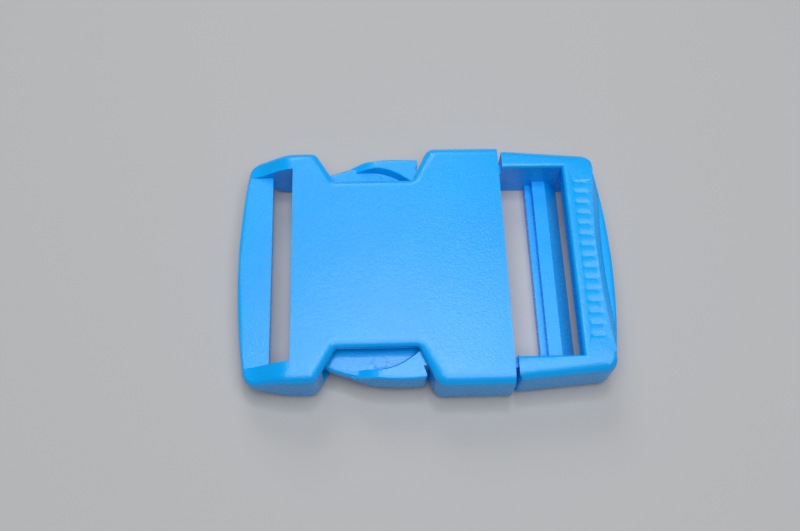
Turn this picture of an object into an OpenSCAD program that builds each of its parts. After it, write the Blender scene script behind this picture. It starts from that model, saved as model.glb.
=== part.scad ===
/* [Common sizes] */
// Width of the webbing that both slots take
webbing_w = 50; // [46:1:60]
// Thickness of both halves
thick = 12.7; // [11:0.1:14]
// Width of the soft outer edges, seen from above
edge_w = 3; // [1:0.1:3.1]
// Height of the soft outer edges
edge_h = 2.5; // [0.6:0.1:2.6]
// Gap between the two halves where one slides in the other
fit_play = 0.25; // [0.15:0.05:0.4]
// Gap between the prong's rail ends and the socket's mouth
seat_gap = 0.9; // [0.3:0.1:1.5]

/* [Socket] */
// Side play of the webbing in the socket's slot
socket_slot_play = 0.9; // [0.5:0.1:2]
// Width of each rail beside the socket's slot
socket_rail_w = 5.3; // [4:0.1:7]
// How far the shoulders at the mouth stand out past the rails
shoulder_step = 1.1; // [0.3:0.1:2]
// Length of the body from the mouth to the strap slot
body_l = 53; // [51.5:0.5:60]
// Length of the strap slot along the buckle
strap_slot_l = 5.3; // [3.5:0.1:7]
// Length of the strap bar at its middle
strap_bar_l = 8.2; // [6.5:0.1:11]
// Thickness of the strap bar
strap_bar_t = 3.2; // [2:0.1:5]
// Radius of the bow of the strap bar's outer edge
bow_r = 184; // [120:2:400]
// Radius of the strap bar's soft outer edges
bar_edge_r = 0.7; // [0.2:0.1:0.9]
// How far the rail ends lean in at the strap bar's corners
rail_lean = 1.1; // [0.5:0.1:2.5]
// Radius of the strap bar's corners
bar_corner_r = 3.6; // [2:0.1:5]
// Share of the strap bar over which the rail ends slope down
slope_part = 0.75; // [0.5:0.05:0.9]
// Thickness of the top and bottom plates
plate_t = 2.3; // [1.2:0.1:2.6]
// Thickness of the side walls at the mouth
side_wall_t = 4.25; // [3:0.05:5]
// Thickness of the wall between the hollow and the strap slot
back_wall_t = 2.5; // [1.5:0.1:4]

/* [Notches] */
// Depth of each notch from the shoulder at the mouth
notch_depth = 9.8; // [8:0.1:10.4]
// Distance from the mouth to the notch floor
notch_from_mouth = 22.4; // [20:0.2:26]
// Length of the notch floor
notch_floor_l = 19.9; // [17:0.1:21]
// Slant of the notch wall on the mouth side, in degrees from the long axis
catch_wall_deg = 67; // [62:1:76]
// Slant of the notch wall on the strap side, in degrees from the long axis
back_notch_deg = 60.5; // [56:0.5:70]
// Radius of the outer corners at the mouth side of the notches
catch_corner_r = 3; // [2:0.1:4]
// Radius of the outer corners at the strap side of the notches
back_corner_r = 2.4; // [2:0.1:3]
// Radius of the inner corners of the notches
notch_corner_r = 1; // [0.5:0.1:2]
// Width of the notches' soft edge, seen from above
notch_edge_w = 2.2; // [1.5:0.1:4]
// Height of the notch floor's soft edge
notch_edge_h = 1.2; // [0.5:0.1:1.8]

/* [Prong frame] */
// Side play of the webbing in the prong's slots
prong_slot_play = 0.6; // [0.2:0.1:1]
// Width of each rail at the shoulder
rail_w = 5.8; // [5:0.1:6.4]
// Width of each rail at the tail
rail_tail_w = 3.8; // [3.3:0.1:5]
// Length of the frame from the mouth to the tail
frame_l = 24.8; // [23.5:0.1:32]
// Radius of the tail corners
tail_corner_r = 3.1; // [2.6:0.1:3.5]
// Radius of the rail ends at the shoulder
rail_end_r = 1.4; // [0.5:0.1:2]
// Distance from the mouth to the webbing window
window_from_mouth = 0.2; // [0:0.05:0.5]
// Radius of the window's corners at the mouth
window_r = 1.5; // [0.5:0.1:2.5]
// Radius of the soft edges round the webbing window, on top
window_edge_r = 1; // [0.3:0.1:1.2]
// Radius of the soft edges round the webbing window, on the underside
window_low_r = 0.3; // [0.1:0.1:1]

/* [Webbing bar] */
// Distance from the mouth to the webbing bar
bar_from_mouth = 8.1; // [5:0.1:9]
// Height of the narrow step on the bar's mouth side
bar_step_h = 2.7; // [1:0.1:4]
// Length of that step
bar_step_l = 1.6; // [1:0.05:3]
// Height of the bar's crest
bar_crest_h = 4.9; // [4.2:0.1:5.5]
// Length of the bar's flat crest
bar_crest_l = 3.35; // [2:0.05:4]
// Length of the slope behind the crest
bar_slope_l = 3.8; // [2.5:0.1:4.5]
// Height of the low edge at the slope's foot
bar_foot_h = 0.5; // [0.3:0.1:1.5]

/* [Grip bar] */
// Distance from the mouth to the grip bar
grip_from_mouth = 16.5; // [15.5:0.1:17]
// How far the posts beside the webbing's way out stand in from the rails
post_step = 0.5; // [0.2:0.1:1.5]
// Thickness of the grip bar
grip_t = 4.4; // [4.2:0.1:6]
// Length of the grip bar's flat top at its middle
grip_top_l = 6.25; // [5:0.05:7]
// Radius of the hollow curve of the grip bar's step
step_bow_r = 190; // [150:5:400]
// Drop from the grip bar's top to the thumb ledge
step_drop = 2.2; // [1:0.1:2.4]
// Length of the step's slope
step_l = 1.9; // [1:0.1:2.5]
// How far the thumb ledge stands out past the tail at its middle
ledge_out = 2.1; // [0.5:0.1:4]
// Radius of the bow of the thumb ledge's edge
ledge_bow_r = 160; // [100:5:300]
// Radius of the thumb ledge's soft edges
ledge_edge_r = 0.9; // [0.3:0.1:0.9]
// Number of flutes on the grip bar
flute_n = 15; // [5:1:17]
// Distance from one flute to the next
flute_pitch = 3; // [2:0.05:3.2]
// Width of a flute
flute_w = 1.6; // [1:0.05:1.9]
// Depth of a flute
flute_d = 0.3; // [0.2:0.05:0.6]
// Distance from the grip bar's inner wall to the flutes
flute_from_wall = 2; // [1.5:0.1:3]
// Length of a flute
flute_l = 4.1; // [2:0.1:4.2]

/* [Arms] */
// Thickness of the spring arms
arm_t = 2.7; // [2:0.1:3]
// Gap between each arm and the socket's side wall
arm_play = 1.6; // [1.2:0.1:2.2]
// Length of the base crossbar
base_l = 4; // [3:0.1:7]
// Radius of the head's outer curve
head_r = 48; // [34:1:60]
// How far the head's outer curve stays inside the shoulders
head_inside = 2.1; // [1.2:0.1:3]
// Distance from the mouth to the head's widest place
head_crown = 26; // [24:0.5:28]
// Distance from the mouth to the head's nose
head_nose = 46.5; // [44:0.1:47]
// Share of the blunt nose's height that each of its two round corners takes as its radius
nose_round = 0.36; // [0.15:0.01:0.4]
// How far the head's inner face lies inside the notch floor
head_under = 2.1; // [1.5:0.1:5]
// How far the head's inner face runs on towards the mouth past the notch floor
head_past = 1.5; // [0.5:0.1:2.5]
// Length of the head's sloped end on the arm
head_slope_l = 2.1; // [1:0.1:4]
// Height of the small step at the root of the catch shoulder
catch_step = 0.3; // [0.1:0.1:0.8]
// Gap between the notch wall and the root of the catch shoulder
catch_gap = 0.8; // [0.2:0.1:1]
// How much steeper than the notch wall the catch shoulder is, in degrees
catch_lean = 7; // [0:1:12]
// Radius of the outer corner of the catch shoulder
catch_tip_r = 0.8; // [0.3:0.1:1.5]
// Radius of the head's soft edges
head_edge_r = 1; // [0.3:0.1:1.2]
// Gap between the arrow heads and the plates
head_play = 0.4; // [0.3:0.1:1]
// Thickness of the web inside the S-shaped step
web_t = 3; // [1.8:0.1:4]
// Width of the S-shaped step's slope
step_slope = 0.4; // [0.1:0.1:1]
// Bevel along the top of that step
step_bevel = 0.4; // [0.1:0.1:0.6]
// Length of the ramp at the nose end of the ridge outside that step
ramp_l = 7.5; // [4:0.5:9]
// Distance from the head's widest place to the round ejector mark
mark_from_crown = 5.8; // [4:0.1:8]
// Distance from the notch floor out to the middle of that mark
mark_from_floor = 2.5; // [2:0.1:4]
// Radius of the round ejector mark
mark_r = 1.7; // [1:0.1:2]
// Width of the fine groove that the mark is drawn by
mark_line_w = 0.3; // [0.2:0.05:0.5]
// Depth of that groove
mark_d = 0.2; // [0.05:0.05:0.3]
// Half width of the middle guide tongue
tongue_half = 9; // [5:0.5:12]
// Thickness of the middle guide tongue
tongue_t = 2.6; // [1.6:0.1:5]
// Distance from the mouth to the tongue's tip
tongue_tip = 47.5; // [40:0.5:49]
// Radius of the tongue's tip corners
tongue_r = 3; // [1:0.5:5]

/* [Hidden] */
$fn = 48;
plastic = [0.10, 0.55, 0.95];

// Steps in the arcs: edge rounding, corners, long bows
edge_n = 4;
corner_n = 5;
bow_n = 8;
soft_angles = [for (i = [0 : edge_n]) 90 * i / edge_n];
// Extra length by which a cut runs past the face that it leaves, and a piece into its neighbour
past = 1;
// Gap that keeps two edges apart where they would run into each other
hair = 0.05;

// Heights shared by the two halves
hollow_lo = plate_t;
hollow_hi = thick - plate_t;
inner_lo = hollow_lo + fit_play;
inner_hi = hollow_hi - fit_play;
head_lo = hollow_lo + head_play;
head_hi = hollow_hi - head_play;
web_lo = (thick - web_t) / 2;
web_hi = (thick + web_t) / 2;

// Half widths of the socket
slot_half = webbing_w / 2 + socket_slot_play;
rail_half = slot_half + socket_rail_w;
mouth_half = rail_half + shoulder_step;
hollow_half = mouth_half - side_wall_t;
waist_half = mouth_half - notch_depth;

// Places along the socket, from the mouth at 0 towards the strap at -X
notch_catch_x = -notch_from_mouth;
notch_back_x = notch_catch_x - notch_floor_l;
bar_inner_x = -body_l - strap_slot_l;
socket_l = body_l + strap_slot_l + strap_bar_l;
strap_lo = (thick - strap_bar_t) / 2;
strap_hi = (thick + strap_bar_t) / 2;
slope_l = strap_slot_l + slope_part * strap_bar_l;

// Half widths and places of the prong
window_half = webbing_w / 2 + prong_slot_play;
prong_half = min(window_half + rail_w, mouth_half);
tail_half = window_half + rail_tail_w;
neck_half = hollow_half - fit_play;
under_half = window_half - post_step;
arm_out = hollow_half - arm_play;
arm_in = arm_out - arm_t;
base_x = window_from_mouth - base_l;
neck_x = seat_gap + rail_end_r + past;
crest_x = grip_from_mouth + grip_top_l;
ledge_x = frame_l + ledge_out;
under_h = thick - grip_t;
ledge_h = thick - step_drop;

// The origin is in the middle of the whole length, on the surface that the buckle lies on
middle_x = (socket_l - ledge_x) / 2;

// Unit vector to the right of the way from a to b
function right_of(a, b) = let (d = b - a) [d.y, -d.x] / norm(d);

// The same for side i of a path, or of a closed loop
function side(p, i, closed) =
    let (n = len(p))
    let (j = closed ? (i + n) % n : min(max(i, 0), n - 2))
    right_of(p[j], p[(j + 1) % n]);

// A path or a closed loop moved to its right, each point by its own distance
function moved(p, d, closed) =
    [for (i = [0 : len(p) - 1])
        let (before = side(p, i - 1, closed))
        let (after = side(p, i, closed))
        p[i] + d[i] * (before + after) / (1 + before * after)];

// The same distance for every point
function evenly(p, d) = [for (q = p) d];

// Points of an arc about c, from angle a to angle b
function arc(c, r, a, b, n) =
    [for (i = [0 : n])
        let (t = a + (b - a) * i / n)
        c + r * [cos(t), sin(t)]];

// The arc of radius r that rounds the corner c between p and q
function bend(p, c, q, r, n) =
    let (u = (p - c) / norm(p - c))
    let (v = (q - c) / norm(q - c))
    let (half = acos(u * v) / 2)
    let (o = c + (u + v) / norm(u + v) * r / sin(half))
    let (s = c + u * r / tan(half) - o)
    let (e = c + v * r / tan(half) - o)
    let (a = atan2(s.y, s.x))
    let (turn = atan2(s.x * e.y - s.y * e.x, s * e))
    arc(o, r, a, a + turn, n);

// A cubic curve through a and d, led by b and c
function curve(a, b, c, d, n) =
    [for (i = [0 : n])
        let (t = i / n)
        let (s = 1 - t)
        s * s * s * a + 3 * s * s * t * b + 3 * s * t * t * c + t * t * t * d];

// Points on a straight line after a, up to and with b
function steps(a, b, n) = [for (i = [1 : n]) a + (b - a) * i / n];

// Two triangles for the four-sided patch a, b, c, d
function patch(a, b, c, d) = [[a, b, c], [a, c, d]];

// A closed block with soft edges, the same on both sides of the long axis
// outline(k) is its upper half outline, left to right, moved in by k of the edge's width
// drop(x) is how far the top is lowered and the underside raised, h(x) the edge's height
module soft_block(outline, drop, h) {
    low = [for (a = soft_angles)
        [for (q = outline(1 - sin(a))) [q.x, q.y, drop(q.x) + h(q.x) * (1 - cos(a))]]];
    high = [for (i = [edge_n : -1 : 0])
        [for (q = low[i]) [q.x, q.y, thick - q.z]]];
    rings = concat(low, high);
    m = len(rings[0]);
    k = len(rings) - 1;
    near = m * (k + 1);
    points = concat(
        [for (ring = rings) for (q = ring) q],
        [for (ring = rings) for (q = ring) [q.x, -q.y, q.z]]);
    faces = concat(
        [for (j = [0 : k - 1]) for (i = [0 : m - 2])
            let (a = j * m + i)
            each patch(a, a + 1, a + m + 1, a + m)],
        [for (j = [0 : k - 1]) for (i = [0 : m - 2])
            let (a = near + j * m + i)
            each patch(a, a + m, a + m + 1, a + 1)],
        [for (i = [0 : m - 2])
            let (a = k * m + i)
            each patch(a, a + 1, near + a + 1, near + a)],
        [for (i = [0 : m - 2]) each patch(i, near + i, near + i + 1, i + 1)],
        [for (j = [0 : k - 1])
            let (a = j * m)
            each patch(a, a + m, near + a + m, near + a)],
        [for (j = [0 : k - 1])
            let (a = j * m + m - 1)
            each patch(a, near + a, near + a + m, a + m)]);
    polyhedron(points, faces, convexity = 8);
}

// A loop at height z
function at(z, loop) = [for (q = loop) [q.x, q.y, z]];

// A closed solid through loops of points, all with the same even number of points and running
// clockwise seen from above; the first and the last one are flat, and there point i of the loop
// faces point i from the loop's end
module loft(sections) {
    m = len(sections[0]);
    k = len(sections) - 1;
    points = [for (s = sections) each s];
    faces = concat(
        [for (j = [0 : k - 1]) for (i = [0 : m - 1])
            let (a = j * m + i)
            let (b = j * m + (i + 1) % m)
            each patch(a, b, b + m, a + m)],
        [for (i = [0 : m / 2 - 2])
            let (a = k * m + i)
            let (b = k * m + m - 1 - i)
            each patch(a, a + 1, b - 1, b)],
        [for (i = [0 : m / 2 - 2]) each patch(i, m - 1 - i, m - 2 - i, i + 1)]);
    polyhedron(points, faces, convexity = 8);
}

// A cut from under to over the part, flared by soft edges of radius low_r below and r on top
module soft_cut(loop, low_r, r) {
    function flared(k) = moved(loop, evenly(loop, -k), true);
    loft(concat(
        [at(-past, flared(low_r))],
        [for (a = soft_angles) at(low_r * (1 - cos(a)), flared(low_r * (1 - sin(a))))],
        [for (i = [edge_n : -1 : 0])
            let (a = soft_angles[i])
            at(thick - r * (1 - cos(a)), flared(r * (1 - sin(a))))],
        [at(thick + past, flared(r))]));
}

// The same thing on both sides of the long axis
module both_sides() {
    children();
    mirror([0, 1, 0]) children();
}

// A straight slab given by its two corners
module slab(lo, hi) {
    translate(lo) cube(hi - lo);
}

// How far x is down the slope of the rail ends, from 0 to 1
function slope_share(x) = min(max((-body_l - x) / slope_l, 0), 1);
// Height lost there on each face, and the size v of the soft edge on its way to the strap bar's
function slope_drop(x) = strap_lo * pow(slope_share(x), 2) * (3 - 2 * slope_share(x));
function slope_edge(v, x) = v + (bar_edge_r - v) * slope_share(x);

// Corners of the upper half of the socket's outline, from the strap bar to the mouth
function wall_x(y) = notch_catch_x + (y - waist_half) / tan(catch_wall_deg);
function bow_point(y) = [bow_r - socket_l - sqrt(bow_r * bow_r - y * y), y];
rail_start = [-body_l, rail_half];
back_corner = [notch_back_x - (rail_half - waist_half) / tan(back_notch_deg), rail_half];
floor_back = [notch_back_x, waist_half];
floor_catch = [notch_catch_x, waist_half];
catch_corner = [wall_x(mouth_half), mouth_half];

// The strap bar's bow and corner and the sloping rail end, moved in by k of the edge's width
bar_corner = bow_point(rail_half - rail_lean);
bow_end = bar_corner.y - bar_corner_r;
bar_corner_path = bend(bow_point(bow_end), bar_corner, rail_start, bar_corner_r, corner_n);
strap_path = concat(
    [for (i = [0.5 : bow_n]) bow_point(bow_end * i / bow_n)],
    bar_corner_path,
    steps(bar_corner_path[corner_n], rail_start, bow_n),
    [back_corner]);
function strap_outline(k) =
    let (p = moved(strap_path, [for (q = strap_path) k * slope_edge(edge_w, q.x)], false))
    [for (i = [0 : len(p) - 2]) p[i]];

// The rail, the notch and the shoulder, moved in in the same way; inner corners count as below 0
notch_corners = [rail_start, back_corner, floor_back, floor_catch, catch_corner, [0, mouth_half]];
notch_radii = [0, back_corner_r, -notch_corner_r, -notch_corner_r, catch_corner_r];
notch_widths = [edge_w, notch_edge_w, notch_edge_w, notch_edge_w, edge_w, edge_w];
least_r = 0.2;
function notch_radius(r, k) = r < 0 ? k * notch_edge_w - r : max(r - k * edge_w, least_r);
function notch_outline(k) =
    let (p = moved(notch_corners, k * notch_widths, false))
    concat(
        [for (i = [1 : 4])
            let (r = notch_radius(notch_radii[i], k))
            each bend(p[i - 1], p[i], p[i + 1], r, corner_n)],
        [p[5]]);
function socket_outline(k) = concat(strap_outline(k), notch_outline(k));

// Height of the socket's soft edge, which is lower along the notch floor
function notch_share(x) = max(0, min(
    1,
    (x - back_corner.x) / (floor_back.x - back_corner.x),
    (catch_corner.x - x) / (catch_corner.x - floor_catch.x)));
function socket_edge_h(x) =
    slope_edge(edge_h, x) + (notch_edge_h - edge_h) * notch_share(x);

module socket_body() {
    color(plastic) translate([middle_x, 0, 0]) difference() {
        soft_block(
            function (k) socket_outline(k),
            function (x) slope_drop(x),
            function (x) socket_edge_h(x));
        // Hollow, open at the mouth and into both notches
        slab([-body_l + back_wall_t, -hollow_half, hollow_lo], [past, hollow_half, hollow_hi]);
        // Strap slot
        slab([bar_inner_x, -slot_half, -past], [-body_l, slot_half, thick + past]);
        // The strap bar is lower than the rail ends, on both faces
        slab([-socket_l - past, -slot_half, strap_hi], [bar_inner_x + past, slot_half, thick + past]);
        slab([-socket_l - past, -slot_half, -past], [bar_inner_x + past, slot_half, strap_lo]);
    }
}

// Upper half of the prong frame's outline, from the shoulder to the tail
shoulder_corner = [seat_gap, prong_half];
tail_corner = [frame_l, tail_half];
rail_slope = (tail_half - prong_half) / (frame_l - seat_gap);
shoulder_path = bend([seat_gap, 0], shoulder_corner, tail_corner, rail_end_r, corner_n);
tail_path = bend(shoulder_corner, tail_corner, [frame_l, 0], tail_corner_r, corner_n);
function rail_line(x) = prong_half + rail_slope * (x - seat_gap);
function soft_line(q, k) = [q.x, min(q.y, rail_line(q.x) - k * edge_w)];
// The tail face gets a narrower soft edge than the rails
tail_share = 0.4;
function frame_outline(k) = concat(
    [for (q = shoulder_path) soft_line(q, k)],
    [for (i = [0 : corner_n])
        let (way = moved(tail_path, evenly(tail_path, k * edge_w), false)[i] - tail_path[i])
        soft_line(tail_path[i] + [way.x * tail_share, way.y], k)]);

// Window for the webbing, clockwise, with rounded corners at the mouth side
window_start = [window_from_mouth, 0];
window_corner = [window_from_mouth, window_half];
window_end = [grip_from_mouth, window_half];
function flipped(q) = [q.x, -q.y];
window_loop = concat(
    bend(flipped(window_end), flipped(window_corner), window_start, window_r, corner_n),
    bend(window_start, window_corner, window_end, window_r, corner_n),
    [window_end, flipped(window_end)]);

// Outer end of the grip bar: the thumb ledge, and the step up from it to the flat top
// Across it the ledge bows out and the step bows in, so that they meet near the corners
// It runs a little into the posts, and back into the grip bar
end_half = under_half + post_step / 2;
end_root = 1.5;
end_y = [for (i = [-bow_n : bow_n]) end_half * i / bow_n];
function ledge_bow(y) = ledge_x - ledge_bow_r + sqrt(ledge_bow_r * ledge_bow_r - y * y);
function step_bow(y) = crest_x + step_bow_r - sqrt(step_bow_r * step_bow_r - y * y);
// The ledge's soft edge loses this share towards the corners
soft_loss = 0.7;
function ledge_soft(y) = ledge_edge_r * (1 - soft_loss * pow(y / end_half, 2));

module grip_end() {
    // A section from its points along the outer edge, closed inside the grip bar
    function section(edge, back) = concat(
        [for (q = edge) [crest_x - back, q.y, q.z]],
        [for (i = [len(edge) - 1 : -1 : 0]) edge[i]]);
    function ledge(a, z, way) = section(
        [for (y = end_y)
            let (r = ledge_soft(y))
            [ledge_bow(y) - r * (1 - sin(a)), y, z + way * r * (1 - cos(a))]],
        end_root);
    // The step is a little narrower, so that no point of it lies on an edge of the ledge
    function step(z, out, room) = section([for (y = end_y * (1 - hair / end_half))
        [min(step_bow(y) + out, ledge_bow(y) - ledge_soft(y) - room), y, z]], end_root + hair);
    loft(concat(
        [for (a = soft_angles) ledge(a, under_h, 1)],
        [for (i = [edge_n : -1 : 0]) ledge(soft_angles[i], ledge_h, -1)],
        [step(ledge_h, step_l, hair), step(thick, 0, 2 * hair)]));
}

// Flutes, round at the bottom and at both ends, with a facet edge at each of these shares of
// the way up their sides
flute_shares = [1 / 6, 1 / 2, 1];
module flutes() {
    ball_r = (flute_w * flute_w / 4 + flute_d * flute_d) / (2 * flute_d);
    half_angle = acos(1 - flute_d / ball_r);
    start = grip_from_mouth + flute_from_wall + flute_w / 2;
    function flute_loop(w) = concat(
        arc([0, 0], w, 270, 90, 2 * edge_n - 1),
        arc([flute_l - flute_w, 0], w, 90, -90, 2 * edge_n - 1));
    for (i = [0 : flute_n - 1]) {
        y = (i - (flute_n - 1) / 2) * flute_pitch;
        translate([start, y, 0]) loft(concat(
            [for (k = flute_shares) let (a = half_angle * k)
                at(thick - flute_d + ball_r * (1 - cos(a)), flute_loop(ball_r * sin(a)))],
            [at(thick + past, flute_loop(flute_w / 2))]));
    }
}

module webbing_bar() {
    crest_start = bar_from_mouth + bar_step_l;
    crest_end = crest_start + bar_crest_l;
    foot = crest_end + bar_slope_l;
    profile = [
        [bar_from_mouth, 0],
        [bar_from_mouth, bar_step_h],
        [crest_start, bar_step_h],
        [crest_start, bar_crest_h],
        [crest_end, bar_crest_h],
        [foot, bar_foot_h],
        [foot, 0]];
    translate([0, window_half + past, 0]) rotate([90, 0, 0])
        linear_extrude(2 * (window_half + past)) polygon(profile);
}

// Places on the arrow head at +Y
crown_y = mouth_half - head_inside;
head_middle = [-head_crown, crown_y - head_r];
function outer_y(x) = head_middle.y + sqrt(head_r * head_r - pow(x - head_middle.x, 2));
root_y = arm_out + catch_step;
shoulder_root = [wall_x(root_y) - catch_gap / sin(catch_wall_deg), root_y];
catch_tip_x = shoulder_root.x + (crown_y - root_y) / tan(catch_wall_deg + catch_lean);
catch_tip = [catch_tip_x, outer_y(catch_tip_x)];
head_inner = waist_half - head_under;
head_end = [notch_catch_x + head_past, head_inner];
arm_root = head_end.x + head_slope_l;
// The nose is blunt, with two round corners; the outer curve starts behind the outer one, at a
// distance from the nose of this many corner radii
nose_reach = 2;
nose_low = [-head_nose, head_inner];
nose_top = [-head_nose, outer_y(-head_nose)];
nose_r = nose_round * (nose_top.y - nose_low.y);
curve_x = -head_nose + nose_reach * nose_r;
// Outline of the whole head, clockwise, with a corner that the catch shoulder's cut takes away
head_loop = concat(
    [head_end],
    bend(head_end, nose_low, nose_top, nose_r, corner_n),
    bend(nose_low, nose_top, [curve_x, outer_y(curve_x)], nose_r, corner_n),
    [for (i = [0 : bow_n + 1])
        let (x = curve_x + (arm_root - curve_x) * i / (bow_n + 1))
        [x, outer_y(x)]],
    [[arm_root, arm_in]]);
// The S-shaped step between the ridge and the web, seen from the head's widest place: its start
// near the outer curve, the two points that lead it, and its end under the notch floor
step_points = [[-12, -2.8], [-5, -3], [-2.3, -1.9], [5, -8.6]];
step_curve = [for (q = step_points) [-head_crown, crown_y] + q];
step_x = step_curve[0].x;
// Way in which the step's foot leans onto the web
lean_way = [-0.5, -0.85];
// The step's line with its foot moved by m, run on at both ends past the head
function step_line(m) =
    let (way = lean_way * m)
    let (c = [for (q = step_curve) q + way])
    concat(
        [[-head_nose - past, mouth_half], [step_x - past, mouth_half] + way],
        curve(c[0], c[1], c[2], c[3], bow_n),
        [head_end + way - [0, past]]);

// Radius of the web's own soft edges; the ridge's ramp starts halfway down them
web_edge_share = 0.42;
web_edge_r = min(head_edge_r, web_edge_share * web_t);
ramp_foot = [step_x, web_hi - web_edge_r / 2];

// Space above the web, down to the middle of the head, and above the ridge's ramp
module web_space() {
    // The ramp rises steeply at its foot and runs level into the ridge's top
    ramp = [for (i = [0 : bow_n])
        let (t = i / bow_n)
        ramp_foot + [ramp_l * t, (head_hi + hair - ramp_foot.y) * sin(90 * t)]];
    function space_loop(m) =
        let (line = step_line(m))
        concat([for (i = [len(line) - 1 : -1 : 0]) [line[i].x, head_inner - 2 * past - m]], line);
    loft([
        at(thick / 2 - hair, space_loop(step_slope)),
        at(web_hi, space_loop(step_slope)),
        at(head_hi - step_bevel, space_loop(0)),
        at(head_hi, space_loop(-step_bevel)),
        at(thick + past, space_loop(-step_bevel))]);
    translate([0, mouth_half + past, 0]) rotate([90, 0, 0])
        linear_extrude(mouth_half) polygon(concat(
            [[step_x - past, thick], [step_x - past, ramp_foot.y]],
            ramp,
            [[step_x + ramp_l, thick]]));
}

// The head's outline as a plate from lo to hi with soft edges of radius r, moved in by inset
module head_plate(lo, hi, r, inset) {
    levels = [for (a = soft_angles) r * (1 - cos(a))];
    loops = [for (a = soft_angles)
        moved(head_loop, evenly(head_loop, inset + r * (1 - sin(a))), true)];
    loft(concat(
        [for (i = [0 : edge_n]) at(lo + levels[i], loops[i])],
        [for (i = [edge_n : -1 : 0]) at(hi - levels[i], loops[i])]));
}

module arrow_head() {
    difference() {
        union() {
            difference() {
                head_plate(head_lo, head_hi, head_edge_r, 0);
                web_space();
                translate([0, 0, thick]) mirror([0, 0, 1]) web_space();
            }
            head_plate(web_lo, web_hi, web_edge_r, hair);
        }
        // Catch shoulder
        translate([0, 0, -past]) linear_extrude(thick + 2 * past)
            polygon(concat(
                [shoulder_root],
                bend(shoulder_root, catch_tip, [-head_crown, crown_y], catch_tip_r, corner_n),
                [[-head_crown, 2 * mouth_half], [past, 2 * mouth_half], [past, root_y]]));
        // Round ejector mark
        translate([-head_crown - mark_from_crown, waist_half + mark_from_floor, web_hi - mark_d])
            difference() {
                cylinder(r = mark_r, h = past);
                translate([0, 0, -past]) cylinder(r = mark_r - mark_line_w, h = 3 * past);
            }
    }
    slab([arm_root - past, arm_in, head_lo], [base_x + past, arm_out, head_hi]);
}

module tongue() {
    back = [base_x + past, tongue_half];
    tip = [-tongue_tip, tongue_half];
    far_side = bend([-tongue_tip, 0], tip, back, tongue_r, corner_n);
    near_side = [for (i = [corner_n : -1 : 0]) [far_side[i].x, -far_side[i].y]];
    translate([0, 0, (thick - tongue_t) / 2]) linear_extrude(tongue_t)
        polygon(concat(near_side, far_side, [back, [back.x, -back.y]]));
}

module prong_body() {
    color(plastic) translate([middle_x, 0, 0]) {
        difference() {
            union() {
                difference() {
                    union() {
                        soft_block(
                            function (k) frame_outline(k),
                            function (x) 0,
                            function (x) edge_h);
                        // Base crossbar in the mouth, with the necks that carry the rails
                        slab([base_x, -neck_half, inner_lo], [neck_x, neck_half, inner_hi]);
                    }
                    soft_cut(window_loop, window_low_r, window_edge_r);
                    // Space for the webbing under the grip bar
                    slab(
                        [grip_from_mouth - past, -under_half, -past],
                        [ledge_x + past, under_half, under_h]);
                    // Room for the grip bar's outer end
                    slab(
                        [crest_x - end_root / 2, -under_half, -past],
                        [ledge_x + past, under_half, thick + past]);
                }
                grip_end();
            }
            flutes();
        }
        webbing_bar();
        both_sides() arrow_head();
        tongue();
    }
}

socket_body();
prong_body();
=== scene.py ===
import math

import bpy
from mathutils import Euler, Matrix, Vector


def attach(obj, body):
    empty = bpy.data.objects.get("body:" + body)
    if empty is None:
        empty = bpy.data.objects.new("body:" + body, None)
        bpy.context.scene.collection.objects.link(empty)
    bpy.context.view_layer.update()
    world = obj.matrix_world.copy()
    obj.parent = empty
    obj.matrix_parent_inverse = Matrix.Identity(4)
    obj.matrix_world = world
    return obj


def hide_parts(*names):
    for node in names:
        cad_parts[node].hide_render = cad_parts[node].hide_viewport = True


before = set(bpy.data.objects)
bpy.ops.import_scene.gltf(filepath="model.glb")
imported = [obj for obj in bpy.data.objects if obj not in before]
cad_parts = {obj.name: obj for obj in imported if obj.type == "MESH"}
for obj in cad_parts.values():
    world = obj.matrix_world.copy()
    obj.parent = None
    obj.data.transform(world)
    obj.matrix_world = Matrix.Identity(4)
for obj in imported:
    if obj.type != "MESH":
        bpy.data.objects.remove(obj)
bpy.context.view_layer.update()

# ---- Socket half ----
# The socket is one injection moulding in acetal: two plates, side walls and a strap bar. It came
# out of a fine-sparked tool, which leaves a satin skin, and every edge has the small radius of
# the mould. Its solid has the whole shape; the mould's small radius is added here.


def linear(hex_colour):
    """An sRGB colour written as RRGGBB, as the linear RGBA that the shaders take."""
    channels = [int(hex_colour[i:i + 2], 16) / 255 for i in (0, 2, 4)]
    return [c / 12.92 if c <= 0.04045 else ((c + 0.055) / 1.055) ** 2.4 for c in channels] + [1.0]


def add_node(tree, kind, inputs=None, **settings):
    """A new node with its settings; each input is a value or another node's output socket."""
    new = tree.nodes.new(kind)
    for name, value in settings.items():
        setattr(new, name, value)
    for name, value in (inputs or {}).items():
        if isinstance(value, bpy.types.NodeSocket):
            tree.links.new(value, new.inputs[name])
        else:
            new.inputs[name].default_value = value
    return new


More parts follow.
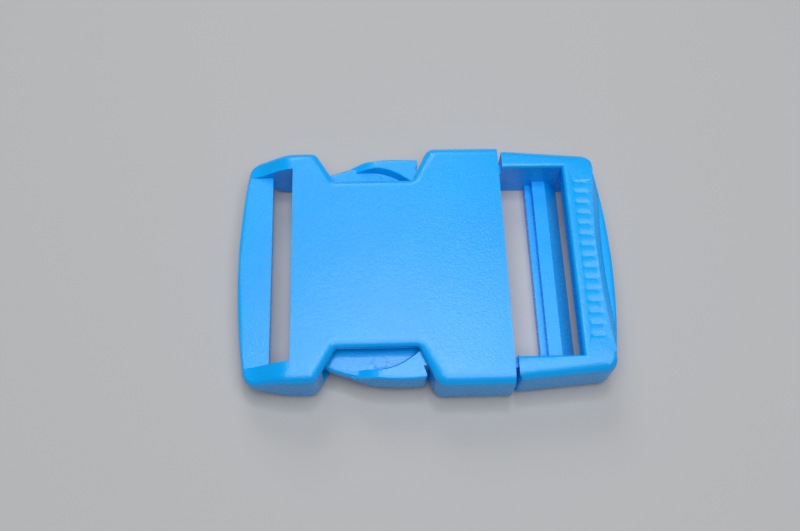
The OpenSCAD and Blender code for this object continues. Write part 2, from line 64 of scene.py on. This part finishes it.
def moulded_acetal(name, shift):
    """Azure acetal as moulded: satin, with a fine spark grain and a slightly uneven colour."""
    deeper_blue, paler_blue = "00A3F8", "04A9FC"
    flow_width = 0.025
    grain_width, grain_depth = 0.0005, 0.00008
    pit_roughness, top_roughness = 0.3, 0.2
    acetal_ior = 1.48

    material = bpy.data.materials.new(name)
    material.use_nodes = True
    tree = material.node_tree
    tree.nodes.clear()
    place = add_node(tree, "ShaderNodeTexCoord")
    moved = add_node(tree, "ShaderNodeMapping",
                     {"Vector": place.outputs["Object"], "Location": shift})
    # Slow changes of tone, about 25 mm apart, where the melt flowed and cooled unevenly
    flow = add_node(tree, "ShaderNodeTexNoise",
                    {"Vector": moved.outputs["Vector"], "Scale": 1 / flow_width, "Detail": 2.0})
    tone = add_node(tree, "ShaderNodeValToRGB", {"Fac": flow.outputs["Fac"]})
    for stop, position, colour in zip(tone.color_ramp.elements, (0.3, 0.7),
                                      (deeper_blue, paler_blue)):
        stop.position = position
        stop.color = linear(colour)
    # Spark grain: far finer on the real skin, and drawn half a millimetre wide so that it shows
    grain = add_node(tree, "ShaderNodeTexNoise",
                     {"Vector": moved.outputs["Vector"], "Scale": 1 / grain_width, "Detail": 3.0,
                      "Roughness": 0.6})
    skin = add_node(tree, "ShaderNodeBump",
                    {"Height": grain.outputs["Fac"], "Strength": 0.8, "Distance": grain_depth})
    # Grain tops shine a little more than the pits
    gloss = add_node(tree, "ShaderNodeMapRange",
                     {"Value": grain.outputs["Fac"], "From Min": 0.3, "From Max": 0.7,
                      "To Min": pit_roughness, "To Max": top_roughness})
    shader = add_node(tree, "ShaderNodeBsdfPrincipled",
                      {"Base Color": tone.outputs["Color"], "Roughness": gloss.outputs["Result"],
                       "IOR": acetal_ior, "Normal": skin.outputs["Normal"]})
    add_node(tree, "ShaderNodeOutputMaterial", {"Surface": shader.outputs["BSDF"]})
    return material


def moulding(solid, name, radius, material):
    """A copy of a CAD node as it leaves the mould: flat faces whole, crisp edges rounded."""
    weld_distance = 1e-6
    flat_within = math.radians(1)
    crisp_from = math.radians(35)

    bpy.ops.object.select_all(action="DESELECT")
    piece = bpy.data.objects.new(name, solid.data.copy())
    bpy.context.scene.collection.objects.link(piece)
    bpy.context.view_layer.objects.active = piece
    piece.select_set(True)

    # Triangles join into whole flat faces, and those with inward corners are split again, since
    # a face with inward corners may fill wrongly
    bpy.ops.object.mode_set(mode="EDIT")
    bpy.ops.mesh.select_all(action="SELECT")
    bpy.ops.mesh.remove_doubles(threshold=weld_distance)
    bpy.ops.mesh.dissolve_limited(angle_limit=flat_within)
    bpy.ops.mesh.select_all(action="SELECT")
    bpy.ops.mesh.vert_connect_concave()
    bpy.ops.object.mode_set(mode="OBJECT")
    bpy.ops.object.shade_smooth()

    edge = piece.modifiers.new("mould radius", "BEVEL")
    edge.width = radius
    edge.segments = 3
    edge.limit_method = "ANGLE"
    edge.angle_limit = crisp_from
    edge.use_clamp_overlap = True
    edge.miter_outer = "MITER_ARC"
    bpy.ops.object.modifier_apply(modifier=edge.name)
    shade = piece.modifiers.new("even shading", "WEIGHTED_NORMAL")
    shade.weight = 50
    bpy.ops.object.modifier_apply(modifier=shade.name)

    piece.data.materials.clear()
    piece.data.materials.append(material)
    return piece


socket = moulding(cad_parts["socket_body"], "socket", 0.00025,
                  moulded_acetal("moulded_acetal_socket", (0, 0, 0)))
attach(socket, "root")
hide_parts("socket_body")

# ---- Prong half ----
# The prong half is one moulding of the same acetal, from a second cavity: the frame with its
# webbing bar and fluted grip bar, the spring arms with their arrow heads, and the guide tongue.
# Its pattern is moved along, so that the two halves don't show the same flow marks.

prong = moulding(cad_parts["prong_body"], "prong", 0.0002,
                 moulded_acetal("moulded_acetal_prong", (0.3, 0.1, 0)))
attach(prong, "root")
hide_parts("prong_body")

# ---- Table ----
# A plain pale table top in matt paint. It is 4 m square, far larger than the buckle, so that no
# edge of it shows.

bpy.ops.object.select_all(action="DESELECT")
bpy.ops.mesh.primitive_plane_add(size=4.0, location=(0, 0, 0))
table = bpy.context.object
table.name = "table"
paint = bpy.data.materials.new("matt_painted_board")
paint.use_nodes = True
board = paint.node_tree.nodes["Principled BSDF"]
board.inputs["Base Color"].default_value = linear("B4B5B7")
board.inputs["Roughness"].default_value = 0.85
table.data.materials.append(paint)

# ---- Light ----
# A wide softbox overhead, a small lamp whose gleam falls on the near half of the top, a weak
# window beyond the buckle, and an even pale room that fills the shadows.

room = bpy.data.worlds.new("pale_room")
bpy.context.scene.world = room
room.use_nodes = True
fill = room.node_tree.nodes["Background"]
fill.inputs["Color"].default_value = linear("F2F4F8")
fill.inputs["Strength"].default_value = 0.08


def soft_light(name, place, width, watts):
    """A round area light that points at the middle of the buckle."""
    data = bpy.data.lights.new(name, "AREA")
    data.shape = "DISK"
    data.size = width
    data.energy = watts
    lamp = bpy.data.objects.new(name, data)
    bpy.context.scene.collection.objects.link(lamp)
    lamp.location = place
    lamp.rotation_euler = (-Vector(place)).to_track_quat("-Z", "Y").to_euler()


soft_light("softbox", place=(0.03, -0.1, 0.75), width=0.8, watts=5.2)
soft_light("lamp", place=(0.03, 0.2, 0.72), width=0.1, watts=0.5)
soft_light("window", place=(-0.1, 0.6, 0.5), width=0.4, watts=1.5)

# ---- Camera ----
# The photograph looks down at 65 degrees, from the prong half's left, and is turned a little.
# Its place and focal length were solved from edges that are parallel on the real buckle.

lens = bpy.data.cameras.new("photo_camera")
lens.sensor_width = 36.0
lens.lens = 42.83
lens.clip_start = 0.01
camera = bpy.data.objects.new("photo_camera", lens)
bpy.context.scene.collection.objects.link(camera)
looks_down, heading, roll = math.radians(65.26), math.radians(5.52), math.radians(4.06)
turn = (Euler((math.radians(90) - looks_down, 0, -heading)).to_matrix()
        @ Matrix.Rotation(roll, 3, "Z"))
camera.rotation_euler = turn.to_euler()
camera.location = (-0.015963, -0.099026, 0.2245)
bpy.context.scene.camera = camera
bpy.context.scene.view_settings.view_transform = "Standard"
